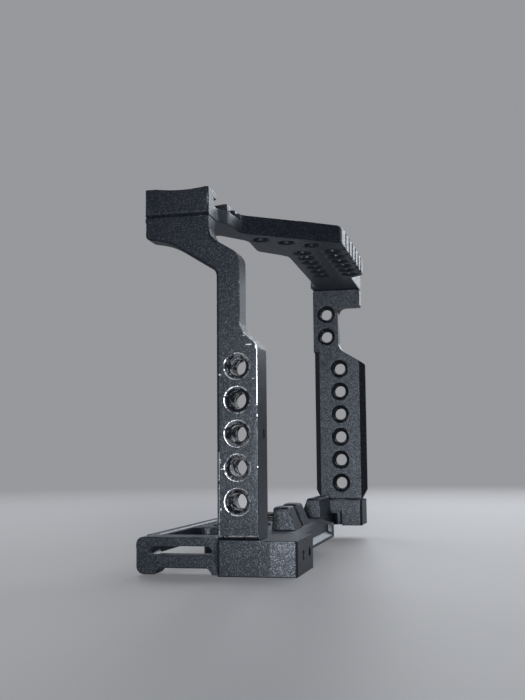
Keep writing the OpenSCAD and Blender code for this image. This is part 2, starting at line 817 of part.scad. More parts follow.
module side_head_screws() {
    color("#26272a") at_side_head_screws() translate([0, 0, top_face_z])
        flat_screw(screw_d, screw_head_d, side_top_screw_l);
}

module side_head_dowel() {
    color("silver") at_side_head_dowel() dowel(top_z);
}

module near_lip_screws() {
    color("#26272a") lip_screws_of(near_lip_x, near_lip_y, lip_l);
}

module mid_lip_screws() {
    color("#26272a") lip_screws_of(mid_lip_x, mid_lip_y, lip_l);
}

module far_lip_screws() {
    color("#26272a") lip_screws_of(far_lip_x, far_lip_y, far_lip_l);
}

module post_lock_screw() {
    color("#8a8d92") translate([lock_x, post_front_y + lock_sink, lock_z]) rotate([-90, 0, 0])
        difference() {
            cylinder(h = lock_l, d = lock_d - 2 * slip);
            translate([0, 0, -eps]) cylinder(h = lock_l / 2, d = lock_socket_d, $fn = 6);
        }
}

// ---- Captive camera screw ----

module camera_screw() {
    color("#b4b6ba") translate([stud_x, stud_y, 0]) difference() {
        union() {
            translate([0, 0, knob_z]) cylinder(h = knob_h, d = knob_d);
            cylinder_between(knob_top_z - eps, clip_z - clip_lift, neck_d);
            cylinder_between(clip_z - clip_lift - eps, clip_z + clip_t + clip_lift + eps, groove_d);
            cylinder_between(clip_z + clip_t + clip_lift, thread_z, neck_d);
            cylinder_between(thread_z - eps, stud_top_z - stud_tip, stud_d);
            translate([0, 0, stud_top_z - stud_tip])
                cylinder(h = stud_tip, d1 = stud_d, d2 = stud_d - 2 * stud_tip);
        }
        // coin slot across a hexagon socket
        translate([-knob_d / 2 - past, -coin_w / 2, knob_z - past])
            cube([knob_d + 2 * past, coin_w, past + coin_depth]);
        translate([0, 0, knob_z - past]) cylinder(h = past + key_depth, d = key_d, $fn = 6);
    }
}

module cylinder_between(low, high, d) {
    translate([0, 0, low]) cylinder(h = high - low, d = d);
}

module camera_screw_clip() {
    color("#77797d") translate([stud_x, stud_y, clip_z]) linear_extrude(clip_t) difference() {
        circle(d = clip_d);
        circle(d = groove_d + 2 * slip);
        translate([0, -clip_gap / 2]) square([clip_d, clip_gap]);
    }
}

module camera_screw_washer() {
    color("#e8e6df") translate([stud_x, stud_y, knob_top_z]) linear_extrude(washer_t) difference() {
        circle(d = washer_d);
        circle(d = neck_d + 2 * slip);
    }
}

// ---- Rubber pads ----

module pad_shape(span, z, thickness, grow = 0) {
    translate([0, 0, z]) linear_extrude(thickness)
        rounded_box([span[0] - grow, pad_y - pad_w / 2 - grow], [span[1] + grow, pad_y + pad_w / 2 + grow],
            pad_r);
}

module pad_holes() {
    for (side = [-1, 1])
        translate([stud_x + side * tripod_pitch, stud_y, 0]) cylinder(h = 2 * base_h, d = ring_d + pad_clear);
    translate([stud_x + 2 * tripod_pitch, stud_y, 0]) cylinder(h = 2 * base_h, d = big_ring_d + pad_clear);
}

module base_pad_near() {
    color("#17181a") difference() {
        pad_shape(pad_near_x, base_h - pad_sink, pad_t);
        pad_holes();
    }
}

module base_pad_far() {
    color("#17181a") difference() {
        pad_shape(pad_far_x, base_h - pad_sink, pad_t);
        pad_holes();
    }
}

base_plate();
grip_post();
top_plate();
side_plate();
near_lip();
mid_lip();
far_lip();
post_foot_screws();
post_foot_dowel();
post_head_screws();
post_head_dowel();
side_foot_screws();
side_foot_dowel();
side_head_screws();
side_head_dowel();
near_lip_screws();
mid_lip_screws();
far_lip_screws();
post_lock_screw();
camera_screw();
camera_screw_clip();
camera_screw_washer();
base_pad_near();
base_pad_far();
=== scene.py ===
import json
import math

import bmesh
import bpy
from mathutils import Euler, Matrix, Vector
from mathutils.bvhtree import BVHTree


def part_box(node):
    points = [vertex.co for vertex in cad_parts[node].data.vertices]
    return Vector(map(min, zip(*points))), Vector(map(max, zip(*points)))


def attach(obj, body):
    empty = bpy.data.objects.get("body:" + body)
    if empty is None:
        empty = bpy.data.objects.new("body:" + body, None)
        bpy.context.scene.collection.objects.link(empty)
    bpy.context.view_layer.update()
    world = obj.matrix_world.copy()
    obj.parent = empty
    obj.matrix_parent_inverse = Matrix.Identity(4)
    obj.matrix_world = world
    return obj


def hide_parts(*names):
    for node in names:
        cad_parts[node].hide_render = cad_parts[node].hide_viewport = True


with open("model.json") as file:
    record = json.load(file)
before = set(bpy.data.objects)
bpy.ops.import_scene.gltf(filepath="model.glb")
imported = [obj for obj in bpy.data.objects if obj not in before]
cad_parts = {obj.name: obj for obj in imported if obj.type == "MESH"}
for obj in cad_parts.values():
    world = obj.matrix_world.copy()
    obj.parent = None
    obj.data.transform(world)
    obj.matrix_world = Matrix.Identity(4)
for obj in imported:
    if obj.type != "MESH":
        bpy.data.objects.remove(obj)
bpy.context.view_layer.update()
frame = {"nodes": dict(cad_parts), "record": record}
mm = 0.001
mounts = {mount["name"]: mount for mount in frame["record"]["mounts"]}
print("frame loaded:", len(frame["nodes"]), "nodes")

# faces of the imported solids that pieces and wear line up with
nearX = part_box("grip_post")[0].x
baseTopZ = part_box("grip_post")[0].z
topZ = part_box("top_plate")[0].z


view = {
    "place": (-340.47 * mm, -69.90 * mm, 33.21 * mm),
    "turn": (0.009, -0.108, 0.218),  # small turns about X, Y and Z away from a look along +X
    "lens": 50.42,
    "sensor": 36.0,
    "clip": (0.01, 20.0),  # nearest and farthest distance drawn, in metres
}


def makeCamera():
    data = bpy.data.cameras.new("camera")
    data.lens = view["lens"]
    data.sensor_width = view["sensor"]
    data.clip_start, data.clip_end = view["clip"]
    camera = bpy.data.objects.new("camera", data)
    bpy.context.scene.collection.objects.link(camera)
    alongX = Matrix(((0, 0, -1), (-1, 0, 0), (0, 1, 0)))  # right is -Y, up is +Z
    turned = Euler(view["turn"], "XYZ").to_matrix() @ alongX
    camera.matrix_world = Matrix.Translation(view["place"]) @ turned.to_4x4()
    bpy.context.scene.camera = camera


lamps = {
    # name: place, aim, size in metres, watts, colour
    "keyLamp": ((-0.362, -0.050, 0.036), (0.0, -0.010, 0.040), 0.04, 0.62, (0.95, 0.98, 1.0)),
    "frontLamp": ((0.75, -0.62, 0.60), (0.0, 0.0, 0.05), 0.60, 2.8, (0.92, 0.96, 1.0)),
    "rearLamp": ((0.75, 0.62, 0.60), (0.0, 0.0, 0.05), 0.60, 2.8, (0.97, 0.985, 1.0)),
    "farLamp": ((0.95, -0.10, 0.45), (0.0, 0.0, 0.05), 0.50, 2.8, (0.95, 0.975, 1.0)),
}


def makeLamps():
    for name, (place, aim, size, watts, colour) in lamps.items():
        data = bpy.data.lights.new(name, "AREA")
        data.shape = "SQUARE"
        data.size = size
        data.energy = watts
        data.color = colour
        lamp = bpy.data.objects.new(name, data)
        lamp.location = place
        lamp.rotation_mode = "QUATERNION"
        lamp.rotation_quaternion = (Vector(aim) - Vector(place)).to_track_quat("-Z", "Y")
        bpy.context.scene.collection.objects.link(lamp)


backdrop = {
    "lightColour": (0.70, 0.82, 1.0),
    "lightStrength": 0.06,
    "seenColour": (0.312, 0.316, 0.332),
    "glossShare": 0.12,  # how much of the seen colour gloss shows, against the soft light
}


def makeBackdrop():
    scene = bpy.context.scene
    scene.view_settings.view_transform = "Standard"
    world = bpy.data.worlds.new("studio")
    scene.world = world
    world.use_nodes = True
    tree = world.node_tree
    tree.nodes.clear()
    path = tree.nodes.new("ShaderNodeLightPath")
    seen = tree.nodes.new("ShaderNodeMath")
    seen.operation = "MAXIMUM"
    shine = tree.nodes.new("ShaderNodeMath")
    shine.operation = "MULTIPLY_ADD"
    shine.inputs[1].default_value = backdrop["glossShare"]
    soft = tree.nodes.new("ShaderNodeBackground")
    soft.inputs["Color"].default_value = (*backdrop["lightColour"], 1)
    soft.inputs["Strength"].default_value = backdrop["lightStrength"]
    back = tree.nodes.new("ShaderNodeBackground")
    back.inputs["Color"].default_value = (*backdrop["seenColour"], 1)
    back.inputs["Strength"].default_value = 1.0
    mix = tree.nodes.new("ShaderNodeMixShader")
    out = tree.nodes.new("ShaderNodeOutputWorld")
    tree.links.new(path.outputs["Is Camera Ray"], seen.inputs[0])
    tree.links.new(path.outputs["Is Transmission Ray"], seen.inputs[1])
    tree.links.new(path.outputs["Is Glossy Ray"], shine.inputs[0])
    tree.links.new(seen.outputs[0], shine.inputs[2])
    tree.links.new(shine.outputs[0], mix.inputs[0])
    tree.links.new(soft.outputs[0], mix.inputs[1])
    tree.links.new(back.outputs[0], mix.inputs[2])
    tree.links.new(mix.outputs[0], out.inputs["Surface"])


paleFloor = {
    "size": 40.0,
    "colour": (0.40, 0.40, 0.415),
    "rough": 0.55,
    "shine": 0.3,
    "glow": 0.46,  # share of the backdrop's colour that the camera sees on the floor itself
    "fade": (0.25, 0.80),  # metres from the middle between which it turns into the backdrop
}


def floorMaterial():
    material = bpy.data.materials.new("paleFloor")
    material.use_nodes = True
    tree = material.node_tree
    surface = tree.nodes["Principled BSDF"]
    surface.inputs["Base Color"].default_value = (*paleFloor["colour"], 1)
    surface.inputs["Roughness"].default_value = paleFloor["rough"]
    surface.inputs["Specular IOR Level"].default_value = paleFloor["shine"]
    surface.inputs["Emission Color"].default_value = (*backdrop["seenColour"], 1)
    place = tree.nodes.new("ShaderNodeTexCoord")
    away = tree.nodes.new("ShaderNodeVectorMath")
    away.operation = "LENGTH"
    fade = tree.nodes.new("ShaderNodeMapRange")
    fade.interpolation_type = "SMOOTHSTEP"
    fade.inputs["From Min"].default_value, fade.inputs["From Max"].default_value = paleFloor["fade"]
    path = tree.nodes.new("ShaderNodeLightPath")
    share = tree.nodes.new("ShaderNodeMath")
    share.operation = "MULTIPLY"
    lift = tree.nodes.new("ShaderNodeMath")
    lift.operation = "MULTIPLY"
    lift.inputs[1].default_value = paleFloor["glow"]
    glow = tree.nodes.new("ShaderNodeEmission")
    glow.inputs["Color"].default_value = (*backdrop["seenColour"], 1)
    mix = tree.nodes.new("ShaderNodeMixShader")
    tree.links.new(path.outputs["Is Camera Ray"], lift.inputs[0])
    tree.links.new(lift.outputs[0], surface.inputs["Emission Strength"])
    tree.links.new(place.outputs["Object"], away.inputs[0])
    tree.links.new(away.outputs["Value"], fade.inputs["Value"])
    tree.links.new(fade.outputs[0], share.inputs[0])
    tree.links.new(path.outputs["Is Camera Ray"], share.inputs[1])
    tree.links.new(share.outputs[0], mix.inputs[0])
    tree.links.new(surface.outputs[0], mix.inputs[1])
    tree.links.new(glow.outputs[0], mix.inputs[2])
    tree.links.new(mix.outputs[0], tree.nodes["Material Output"].inputs["Surface"])
    return material


def makeFloor():
    half = paleFloor["size"] / 2
    mesh = bpy.data.meshes.new("floor")
    corners = [(-half, -half, 0), (half, -half, 0), (half, half, 0), (-half, half, 0)]
    mesh.from_pydata(corners, [], [(0, 1, 2, 3)])
    mesh.materials.append(floorMaterial())
    floor = bpy.data.objects.new("floor", mesh)
    bpy.context.scene.collection.objects.link(floor)

    # the low key lamp would burn a bright patch into the floor beside it
    spared = bpy.data.collections.new("sparedByKeyLamp")
    spared.objects.link(floor)
    bpy.data.objects["keyLamp"].light_linking.receiver_collection = spared
    spared.collection_objects[0].light_linking.link_state = "EXCLUDE"


makeCamera()
makeLamps()
makeBackdrop()
makeFloor()
print("camera, lamps and floor made")


class Finish:
    # a procedural material: add() makes a node, and set() fills a socket of the shader
    def __init__(self, name):
        self.material = bpy.data.materials.new(name)
        self.material.use_nodes = True
        self.tree = self.material.node_tree
        self.surface = self.tree.nodes["Principled BSDF"]
        self.place = self.tree.nodes.new("ShaderNodeTexCoord").outputs["Object"]

    def add(self, kind, options=None, **values):
        # i0, i1 and so on name a node's sockets by number
        node = self.tree.nodes.new("ShaderNode" + kind)
        for option, value in (options or {}).items():
            setattr(node, option, value)
        for socket, value in values.items():
            self.put(node.inputs[int(socket[1:]) if socket[1:].isdigit() else socket], value)
        return node

    def put(self, socket, value):
        if isinstance(value, bpy.types.NodeSocket):
            self.tree.links.new(value, socket)
        else:
            socket.default_value = value

    def noise(self, scale, detail, roughness):
        return self.add("TexNoise", Vector=self.place, Scale=scale, Detail=detail,
                        Roughness=roughness).outputs["Fac"]

    def math(self, operation, a, b):
        return self.add("Math", {"operation": operation}, i0=a, i1=b).outputs[0]

    def vector(self, operation, a, b):
        return self.add("VectorMath", {"operation": operation}, i0=a, i1=b).outputs[0]

    def attribute(self, name):
        return self.add("Attribute", {"attribute_name": name}).outputs["Fac"]

    def ramp(self, value, low, high, toLow=0.0, toHigh=1.0):
        node = self.add("MapRange", {"interpolation_type": "SMOOTHSTEP"}, Value=value)
        limits = {"From Min": low, "From Max": high, "To Min": toLow, "To Max": toHigh}
        for socket, number in limits.items():
            node.inputs[socket].default_value = number
        return node.outputs[0]

    def mix(self, share, a, b):
        node = self.add("Mix", {"data_type": "RGBA"})
        self.put(node.inputs[0], share)
        self.put(node.inputs[6], a if isinstance(a, bpy.types.NodeSocket) else (*a, 1))
        self.put(node.inputs[7], b if isinstance(b, bpy.types.NodeSocket) else (*b, 1))
        return node.outputs[2]

    def bump(self, height, strength, depth):
        node = self.add("Bump", Height=height, Strength=strength, Distance=depth)
        self.put(self.surface.inputs["Normal"], node.outputs[0])

    def set(self, socket, value):
        if isinstance(value, tuple) and len(value) == 3:
            value = (*value, 1)
        self.put(self.surface.inputs[socket], value)


# In the finishes, a noise is its scale, detail and roughness, a span is the two values of a noise
# between which the finish changes, and a bump is its strength and its depth in metres.
middleSpan = (0.3, 0.7)

# scuffs on the nearest upright's outer face: centre and half size in Y and Z, in millimetres
scuffs = [
    ((-6.6, 64.7), (1.7, 0.30)),
    ((-8.6, 64.0), (0.45, 1.0)),
    ((-5.1, 67.3), (0.5, 0.35)),
    ((1.9, 56.3), (0.9, 0.45)),
    ((-7.7, 55.0), (1.0, 0.22)),
    ((1.9, 31.9), (0.30, 1.2)),
    ((1.4, 29.7), (0.6, 0.30)),
    ((1.7, 18.6), (0.30, 0.6)),
]

rubbing = {
    "noise": (260.0, 5.0, 0.72),
    "noiseShare": 0.7,
    "scratchShare": 0.3,
    "wearShare": 0.52,
    "bareSpan": (0.80, 0.88),
    "scuffDepth": 1.0,  # how far a scuff reaches into the part, in millimetres
    "scuffFade": (1.0, 0.35),  # from a scuff's rim to where it is whole, as shares of its size
    "tornSpan": (0.30, 0.46),
}


def bareShare(finish, scratch):
    # where the finish has rubbed off: along broken edges, on worn rims and in the scuffs
    rub = finish.math("MULTIPLY", finish.noise(*rubbing["noise"]), rubbing["noiseShare"])
    rubbed = finish.math("ADD", rub, finish.math("MULTIPLY", scratch, rubbing["scratchShare"]))
    worn = finish.math("MULTIPLY", finish.attribute("wear"), rubbing["wearShare"])
    bare = finish.ramp(finish.math("ADD", rubbed, worn), *rubbing["bareSpan"])
    for (y, z), (halfY, halfZ) in scuffs:
        offset = finish.vector("SUBTRACT", finish.place, (nearX, y * mm, z * mm))
        halfSize = (rubbing["scuffDepth"] * mm, halfY * mm, halfZ * mm)
        scaled = finish.vector("DIVIDE", offset, halfSize)
        away = finish.add("VectorMath", {"operation": "LENGTH"}, i0=scaled).outputs["Value"]
        inside = finish.ramp(away, *rubbing["scuffFade"])
        torn = finish.ramp(finish.math("MULTIPLY", inside, scratch), *rubbing["tornSpan"])
        bare = finish.math("MAXIMUM", bare, torn)
    return bare


anodise = {
    "dark": (0.0050, 0.0080, 0.0150),
    "dull": (0.0100, 0.0130, 0.0190),
    "dullNoise": (60.0, 3.0, 0.55),
    "dullSpan": (0.30, 0.75),
    "glint": (0.105, 0.112, 0.128),  # blasted dimples that face the light
    "glintSpan": (0.45, 0.95),
    "grainScale": 3500.0,  # blasted dimples a metre
    "dimpleNoise": (3500.0, 0.6, 0.5),
    "scratchNoise": (1500.0, 2.0, 0.6),
    "rough": (0.36, 0.46),
    "polish": -0.10,  # bare metal is smoother by this much
    "ior": 1.50,
    "tint": (0.84, 0.92, 1.0),
    "dent": -0.3,  # bare metal lies lower by this share of a dimple
    "bump": (1.0, 0.00005),
    "bareMetal": (0.74, 0.75, 0.78),
}


def anodisedAluminium():
    finish = Finish("anodisedAluminium")
    cells = finish.add("TexVoronoi", {"feature": "F1"}, Vector=finish.place,
                       Scale=anodise["grainScale"])
    random = finish.add("SeparateColor", Color=cells.outputs["Color"])
    glint = finish.ramp(random.outputs[0], *anodise["glintSpan"])
    dull = finish.ramp(finish.noise(*anodise["dullNoise"]), *anodise["dullSpan"])
    colour = finish.mix(dull, anodise["dark"], anodise["dull"])
    colour = finish.mix(glint, colour, anodise["glint"])
    bare = bareShare(finish, finish.noise(*anodise["scratchNoise"]))
    finish.set("Base Color", finish.mix(bare, colour, anodise["bareMetal"]))
    rough = finish.ramp(random.outputs[1], 0.0, 1.0, *anodise["rough"])
    polish = finish.math("MULTIPLY", bare, anodise["polish"])
    finish.set("Roughness", finish.math("ADD", rough, polish))
    finish.set("Metallic", finish.math("MAXIMUM", bare, glint))
    finish.set("IOR", anodise["ior"])
    finish.set("Specular Tint", anodise["tint"])
    dent = finish.math("MULTIPLY", bare, anodise["dent"])
    dimples = finish.noise(*anodise["dimpleNoise"])
    finish.bump(finish.math("ADD", dimples, dent), *anodise["bump"])
    return finish.material


threadFinish = {
    "bare": (0.50, 0.51, 0.53),
    "bright": (0.80, 0.80, 0.82),
    "dark": (0.022, 0.026, 0.034),
    "wornNoise": (420.0, 4.0, 0.65),
    "wornSpan": (0.62, 0.72),
    "wornDrop": 0.45,  # a thread worn all over has its span this much lower
    "fineNoise": (3200.0, 2.0, 0.6),
    "toneSpan": (0.35, 0.7),
    "metallic": 0.6,
    "rough": (0.34, 0.50),
    "bump": (0.35, 0.00005),
}


def threadMetal(name, worn):
    finish = Finish(name)
    low, high = (limit - threadFinish["wornDrop"] * worn for limit in threadFinish["wornSpan"])
    bare = finish.ramp(finish.noise(*threadFinish["wornNoise"]), low, high)
    fine = finish.noise(*threadFinish["fineNoise"])
    tone = finish.mix(finish.ramp(fine, *threadFinish["toneSpan"]),
                      threadFinish["bare"], threadFinish["bright"])
    finish.set("Base Color", finish.mix(bare, threadFinish["dark"], tone))
    finish.set("Metallic", threadFinish["metallic"])
    finish.set("Roughness", finish.ramp(fine, *middleSpan, *threadFinish["rough"]))
    finish.bump(fine, *threadFinish["bump"])
    return finish.material


turned = {
    "stretch": (60, 60, 2600),  # rings a metre across and along the turned axis
    "ringDetail": 3.0,
    "fineNoise": (1800.0, 3.0, 0.6),
    "toneSpan": (0.3, 0.75),
    "dark": (0.50, 0.51, 0.53),
    "light": (0.66, 0.66, 0.67),
    "rough": (0.22, 0.38),
    "bump": (0.20, 0.00004),
}


def turnedSteel():
    finish = Finish("turnedSteel")
    stretched = finish.add("Mapping", Vector=finish.place, Scale=turned["stretch"]).outputs[0]
    rings = finish.add("TexNoise", Vector=stretched, Scale=1.0,
                       Detail=turned["ringDetail"]).outputs["Fac"]
    tone = finish.ramp(finish.noise(*turned["fineNoise"]), *turned["toneSpan"])
    finish.set("Base Color", finish.mix(tone, turned["dark"], turned["light"]))
    finish.set("Metallic", 1.0)
    finish.set("Roughness", finish.ramp(rings, *middleSpan, *turned["rough"]))
    finish.bump(rings, *turned["bump"])
    return finish.material


oxide = {
    "fineNoise": (1500.0, 3.0, 0.6),
    "blotchNoise": (240.0, 3.0, 0.6),
    "wearShare": 0.40,
    "bareSpan": (0.78, 0.92),
    "dark": (0.028, 0.028, 0.030),
    "brown": (0.055, 0.052, 0.050),
    "bare": (0.42, 0.42, 0.43),
    "metallic": 0.85,
    "rough": (0.30, 0.46),
    "bump": (0.25, 0.00004),
}


def blackOxide():
    finish = Finish("blackOxide")
    fine = finish.noise(*oxide["fineNoise"])
    blotch = finish.noise(*oxide["blotchNoise"])
    worn = finish.math("MULTIPLY", finish.attribute("wear"), oxide["wearShare"])
    bare = finish.ramp(finish.math("ADD", fine, worn), *oxide["bareSpan"])
    dark = finish.mix(finish.ramp(blotch, *middleSpan), oxide["dark"], oxide["brown"])
    finish.set("Base Color", finish.mix(bare, dark, oxide["bare"]))
    finish.set("Metallic", oxide["metallic"])
    finish.set("Roughness", finish.ramp(fine, *middleSpan, *oxide["rough"]))
    finish.bump(fine, *oxide["bump"])
    return finish.material


rubber = {
    "grainNoise": (3000.0, 3.0, 0.65),
    "dustNoise": (190.0, 4.0, 0.6),
    "dustSpan": (0.45, 0.8),
    "dark": (0.022, 0.022, 0.024),
    "dusty": (0.048, 0.047, 0.046),
    "rough": (0.72, 0.90),
    "bump": (0.6, 0.00008),
}


def matRubber():
    finish = Finish("matRubber")
    grain = finish.noise(*rubber["grainNoise"])
    dust = finish.ramp(finish.noise(*rubber["dustNoise"]), *rubber["dustSpan"])
    finish.set("Base Color", finish.mix(dust, rubber["dark"], rubber["dusty"]))
    finish.set("Roughness", finish.ramp(grain, *middleSpan, *rubber["rough"]))
    finish.bump(grain, *rubber["bump"])
    return finish.material


plastic = {
    "grainNoise": (1400.0, 3.0, 0.5),
    "toneSpan": (0.3, 0.8),
    "dark": (0.72, 0.71, 0.67),
    "light": (0.80, 0.79, 0.75),
    "rough": (0.42, 0.55),
    "bump": (0.15, 0.00004),
}


def whitePlastic():
    finish = Finish("whitePlastic")
    grain = finish.noise(*plastic["grainNoise"])
    tone = finish.ramp(grain, *plastic["toneSpan"])
    finish.set("Base Color", finish.mix(tone, plastic["dark"], plastic["light"]))
    finish.set("Roughness", finish.ramp(grain, *middleSpan, *plastic["rough"]))
    finish.bump(grain, *plastic["bump"])
    return finish.material


finishes = {
    "anodised": anodisedAluminium(),
    "bareThread": threadMetal("wornThread", 0.30),
    "darkThread": threadMetal("anodisedThread", 0.1),
    "steel": turnedSteel(),
    "blackSteel": blackOxide(),
    "rubber": matRubber(),
    "whitePlastic": whitePlastic(),
}
print("finishes made:", len(finishes))

meshing = {
    "smoothAngle": 32.0,  # degrees; sharper edges stay sharp in the shading
    "sharpAngle": 30.0,  # degrees; sharper edges are broken
    "flatAngle": 0.6,  # degrees; flatter edges are dissolved
    "join": 0.008,  # millimetres; closer corners become one
    "looseJoin": 0.004,
    "levelWeight": 100,
}


def camelName(node):
    first, *others = node.split("_")
    return first + "".join(word.capitalize() for word in others)


def place(name, mesh, finish, slot, stands=(), body="cage"):
    piece = bpy.data.objects.new(name, mesh)
    bpy.context.scene.collection.objects.link(piece)
    mesh.materials.clear()
    mesh.materials.append(finishes[finish])
    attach(piece, body)
    if stands:
        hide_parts(*stands)
    return piece


def toMesh(shape, name):
    mesh = bpy.data.meshes.new(name)
    bmesh.ops.recalc_face_normals(shape, faces=shape.faces)
    for face in shape.faces:
        face.smooth = True
    shape.to_mesh(mesh)
    shape.free()
    mesh.set_sharp_from_angle(angle=math.radians(meshing["smoothAngle"]))
    return mesh


def levelFaces(piece):
    # flat faces keep their own normal right up to a broken edge
    flat = piece.modifiers.new("flatFaces", "WEIGHTED_NORMAL")
    flat.mode = "FACE_AREA"
    flat.weight = meshing["levelWeight"]
    flat.keep_sharp = True


def looseBoxes(node):
    # box of each separate solid in a node, from the nearest end along the cage
    shape = bmesh.new()
    shape.from_mesh(frame["nodes"][node].data)
    bmesh.ops.remove_doubles(shape, verts=shape.verts, dist=meshing["looseJoin"] * mm)
    left = set(shape.verts)
    boxes = []
    while left:
        grown = [left.pop()]
        solid = []
        while grown:
            vert = grown.pop()
            solid.append(vert.co)
            for edge in vert.link_edges:
                other = edge.other_vert(vert)
                if other in left:
                    left.remove(other)
                    grown.append(other)
        low = Vector([min(spot[i] for spot in solid) for i in range(3)])
        high = Vector([max(spot[i] for spot in solid) for i in range(3)])
        boxes.append((low, high))
    shape.free()
    return sorted(boxes, key=lambda box: (round(box[0].x, 5), round(box[0].y, 5)))


# bores whose edges stay as they are: those of the joint screws and dowels, which nobody sees,
# and the tapped holes inside their rims, where a thread ridge sits
bores = {"hiddenMargin": 0.45, "tappedMargin": 0.15}  # millimetres
jointNodes = [node for node in frame["nodes"]
              if ("screw" in node or "dowel" in node)
              and node not in ("post_lock_screw", "camera_screw_washer", "camera_screw_clip")]
hiddenBores = []
for node in jointNodes:
    for low, high in looseBoxes(node):
        middle = (low + high) / 2
        reach = (high.x - low.x) / 2 + bores["hiddenMargin"] * mm
        hiddenBores.append((middle.x, middle.y, reach))
tappedHoles = [(Vector(mount["pos_m"]), Vector(mount["axis"]), mount["dims"]["r_mm"] * mm)
               for mount in mounts.values() if mount["kind"] == "threaded_hole"]


def inHiddenBore(spot):
    return any(math.hypot(spot.x - x, spot.y - y) < reach for x, y, reach in hiddenBores)


def inTappedHole(spot):
    return any(((spot - centre).cross(axis)).length < radius + bores["tappedMargin"] * mm
               for centre, axis, radius in tappedHoles)


def cleanCopy(node):
    shape = bmesh.new()
    shape.from_mesh(frame["nodes"][node].data)
    bmesh.ops.remove_doubles(shape, verts=shape.verts, dist=meshing["join"] * mm)
    bmesh.ops.dissolve_degenerate(shape, dist=meshing["join"] * mm, edges=shape.edges)
    bmesh.ops.dissolve_limit(shape, angle_limit=math.radians(meshing["flatAngle"]),
                             verts=shape.verts, edges=shape.edges,
                             use_dissolve_boundaries=False, delimit={"NORMAL"})
    return shape


def everySharpEdge(shape):
    limit = math.radians(meshing["sharpAngle"])
    return [edge for edge in shape.edges
            if len(edge.link_faces) == 2 and edge.calc_face_angle(0) > limit]


def sharpEdges(shape):
    found = []
    for edge in everySharpEdge(shape):
        ends = [vert.co for vert in edge.verts]
        hidden = all(inHiddenBore(spot) for spot in ends)
        tapped = all(inTappedHole(spot) for spot in ends)
        if not hidden and not tapped:
            found.append(edge)
    return found


breaking = {
    "rounds": 7,
    "nearby": 0.45,  # millimetres from a fault within which edges are left, in the first round
    "nearbyGrowth": 0.2,
    "endPiece": 1.1,  # so much of a long edge stays sharp where two edges would collide
    "reach": 0.45,  # share of an edge's width that the new surface may leave the old one
    "tinyFace": 2e-9,  # square metres, twice the area; smaller triangles aren't judged
    "onFace": 0.02,
    "wearMargin": 2.0,
}

# wear of the nearest upright's edges: lowest and highest Y, lowest and highest Z, in millimetres,
# and how worn
edgeWear = [
    ((-9.8, -8.6), (47.5, 65.0), 0.95),
    ((-9.8, -4.6), (62.8, 68.6), 0.85),
    ((-9.8, -8.6), (9.5, 47.5), 0.46),
    ((1.7, 2.5), (11.5, 34.5), 0.72),
    ((-9.8, 3.2), (9.5, 12.2), 0.62),
]


def faultsOf(shape, tree, reach):
    # corners of every face that leaves the part's surface or folds over itself
    spots = []
    shape.normal_update()
    for loops in shape.calc_loop_triangles():
        a, b, c = (loop.vert.co for loop in loops)
        across = (b - a).cross(c - a)
        if across.length < breaking["tinyFace"]:
            continue
        away = tree.find_nearest((a + b + c) / 3)[3]
        if away > reach or across.dot(loops[0].face.normal) < 0:
            spots.extend((a.copy(), b.copy(), c.copy()))
    for vert in shape.verts:
        if tree.find_nearest(vert.co)[3] > reach:
            spots.append(vert.co.copy())
    return spots


def breakEdges(shape, edges, width, segments, wearLayer, wear):
    made = bmesh.ops.bevel(shape, geom=edges, offset=width, offset_type="OFFSET",
                           segments=segments, profile=0.5, affect="EDGES", clamp_overlap=False,
                           miter_outer="SHARP", miter_inner="SHARP", loop_slide=True)
    for face in made["faces"]:
        for loop in face.loops:
            loop[wearLayer] = wear


def onNearFace(edge):
    return all(abs(vert.co.x - nearX) < breaking["onFace"] * mm for vert in edge.verts)


def cutAtWear(edge):
    # an upright edge of the near face is split where its wear changes
    margin = breaking["wearMargin"] * mm
    for height in sorted({z for _, heights, _ in edgeWear for z in heights}):
        low, high = sorted(edge.verts, key=lambda vert: vert.co.z)
        if onNearFace(edge) and low.co.z + margin < height * mm < high.co.z - margin:
            share = (height * mm - low.co.z) / (high.co.z - low.co.z)
            _, made = bmesh.utils.edge_split(edge, low, share)
            edge = next(e for e in made.link_edges if e.other_vert(made) is high)


def cutEnds(edges):
    # the two ends of each long edge become edges of their own
    endPiece = breaking["endPiece"] * mm
    for edge in edges:
        whole = edge.calc_length()
        if whole > 3 * endPiece:
            start, end = edge.verts
            _, first = bmesh.utils.edge_split(edge, start, endPiece / whole)
            rest = next(e for e in first.link_edges if e.other_vert(first) is end)
            _, last = bmesh.utils.edge_split(rest, end, endPiece / (whole - endPiece))
            cutAtWear(next(e for e in last.link_edges if e.other_vert(last) is first))


def broken(shape, choose, width, segments, wear, tree, reach):
    # breaks the chosen edges, and leaves out those near a spot where that would spoil the surface
    left = []
    cutEnds(choose(shape))
    for attempt in range(breaking["rounds"]):
        trial = shape.copy()
        layer = trial.loops.layers.float.get("wear") or trial.loops.layers.float.new("wear")
        nearby = (breaking["nearby"] + breaking["nearbyGrowth"] * attempt) * mm
        edges = []
        skipped = 0.0
        for edge in choose(trial):
            middle = (edge.verts[0].co + edge.verts[1].co) / 2
            ends = [middle] + [vert.co for vert in edge.verts]
            if any((spot - end).length < nearby for spot in left for end in ends):
                skipped += edge.calc_length() / mm
            else:
                edges.append(edge)
        breakEdges(trial, edges, width, segments, layer, wear)
        faults = faultsOf(trial, tree, reach)
        if not faults or attempt == breaking["rounds"] - 1:
            shape.free()
            print("  edges:", len(edges), "broken,", round(skipped, 1), "mm left sharp,",
                  len(faults), "faults")
            return trial
        left.extend(faults)
        trial.free()


rearEdge = {
    "behindY": 2.5,  # millimetres
    "aboveFoot": 0.9,
    "sideways": 0.3,  # most that the other face may turn towards the camera
    "upward": 0.9,  # most that it may turn upward
}


